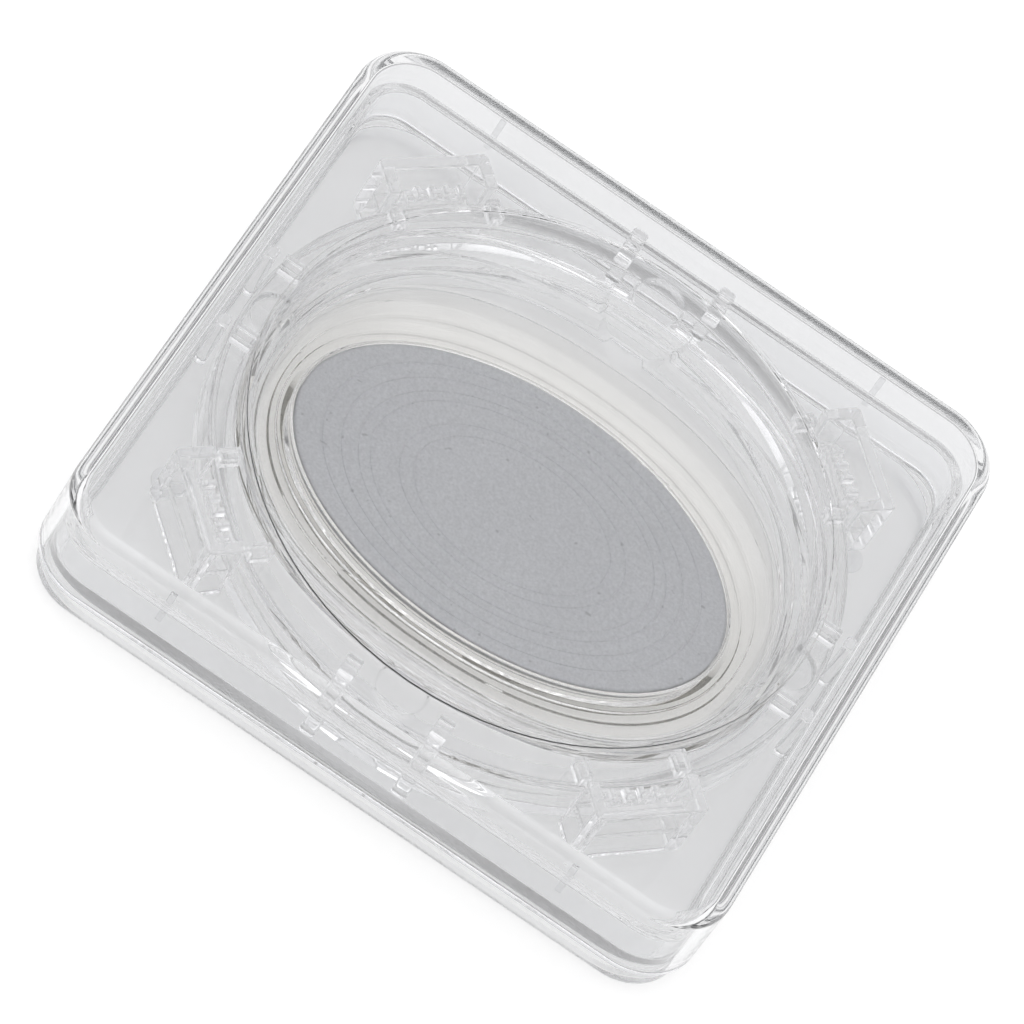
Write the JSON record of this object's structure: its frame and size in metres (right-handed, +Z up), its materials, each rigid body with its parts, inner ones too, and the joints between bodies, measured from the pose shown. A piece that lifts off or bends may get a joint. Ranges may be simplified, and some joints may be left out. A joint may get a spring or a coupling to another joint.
{
  "type": "wet palette",
  "caption": "Pocket wet palette: clear square case with a lift-off cover and a ring that carries an oval water well, a damp pad and a grey mixing disc with contour rings.",
  "frame": {"origin": "centre of the foot, on the surface that the case stands on", "axes": "+X along the long side of the oval well, +Z up towards the cover, -Y towards the near side"},
  "size_m": [0.1, 0.1, 0.0184],
  "materials": {
    "clear_case": "polished clear styrene",
    "clear_insert": "polished clear styrene, moulded inner parts",
    "silicone": "translucent silicone",
    "pad_foam": "damp pressed sponge",
    "grey_disc": "fine matte grey with thin contour grooves"
  },
  "bodies": {
    "base": {"base_tray": "clear_case", "sump": "clear_case", "seal": "silicone", "holder_ring": "clear_insert", "clip_1": "clear_insert", "clip_2": "clear_insert", "clip_3": "clear_insert", "clip_4": "clear_insert", "key_1": "clear_insert", "key_2": "clear_insert", "key_3": "clear_insert", "key_4": "clear_insert"},
    "insert": {"well": "clear_insert"},
    "pad": {"pad": "pad_foam"},
    "palette": {"disc": "grey_disc", "hoop": "clear_insert"},
    "cover": {"cover": "clear_case"}
  },
  "joints": [
    {"name": "insert_lift", "type": "slide", "parent": "base", "child": "insert", "axis": [0, 0, 1], "range_m": [0, 0.02]},
    {"name": "pad_lift", "type": "slide", "parent": "insert", "child": "pad", "axis": [0, 0, 1], "range_m": [0, 0.012]},
    {"name": "disc_lift", "type": "slide", "parent": "pad", "child": "palette", "axis": [0, 0, 1], "range_m": [0, 0.012]},
    {"name": "cover_lift", "type": "slide", "parent": "palette", "child": "cover", "axis": [0, 0, 1], "range_m": [0, 0.02]}
  ]
}
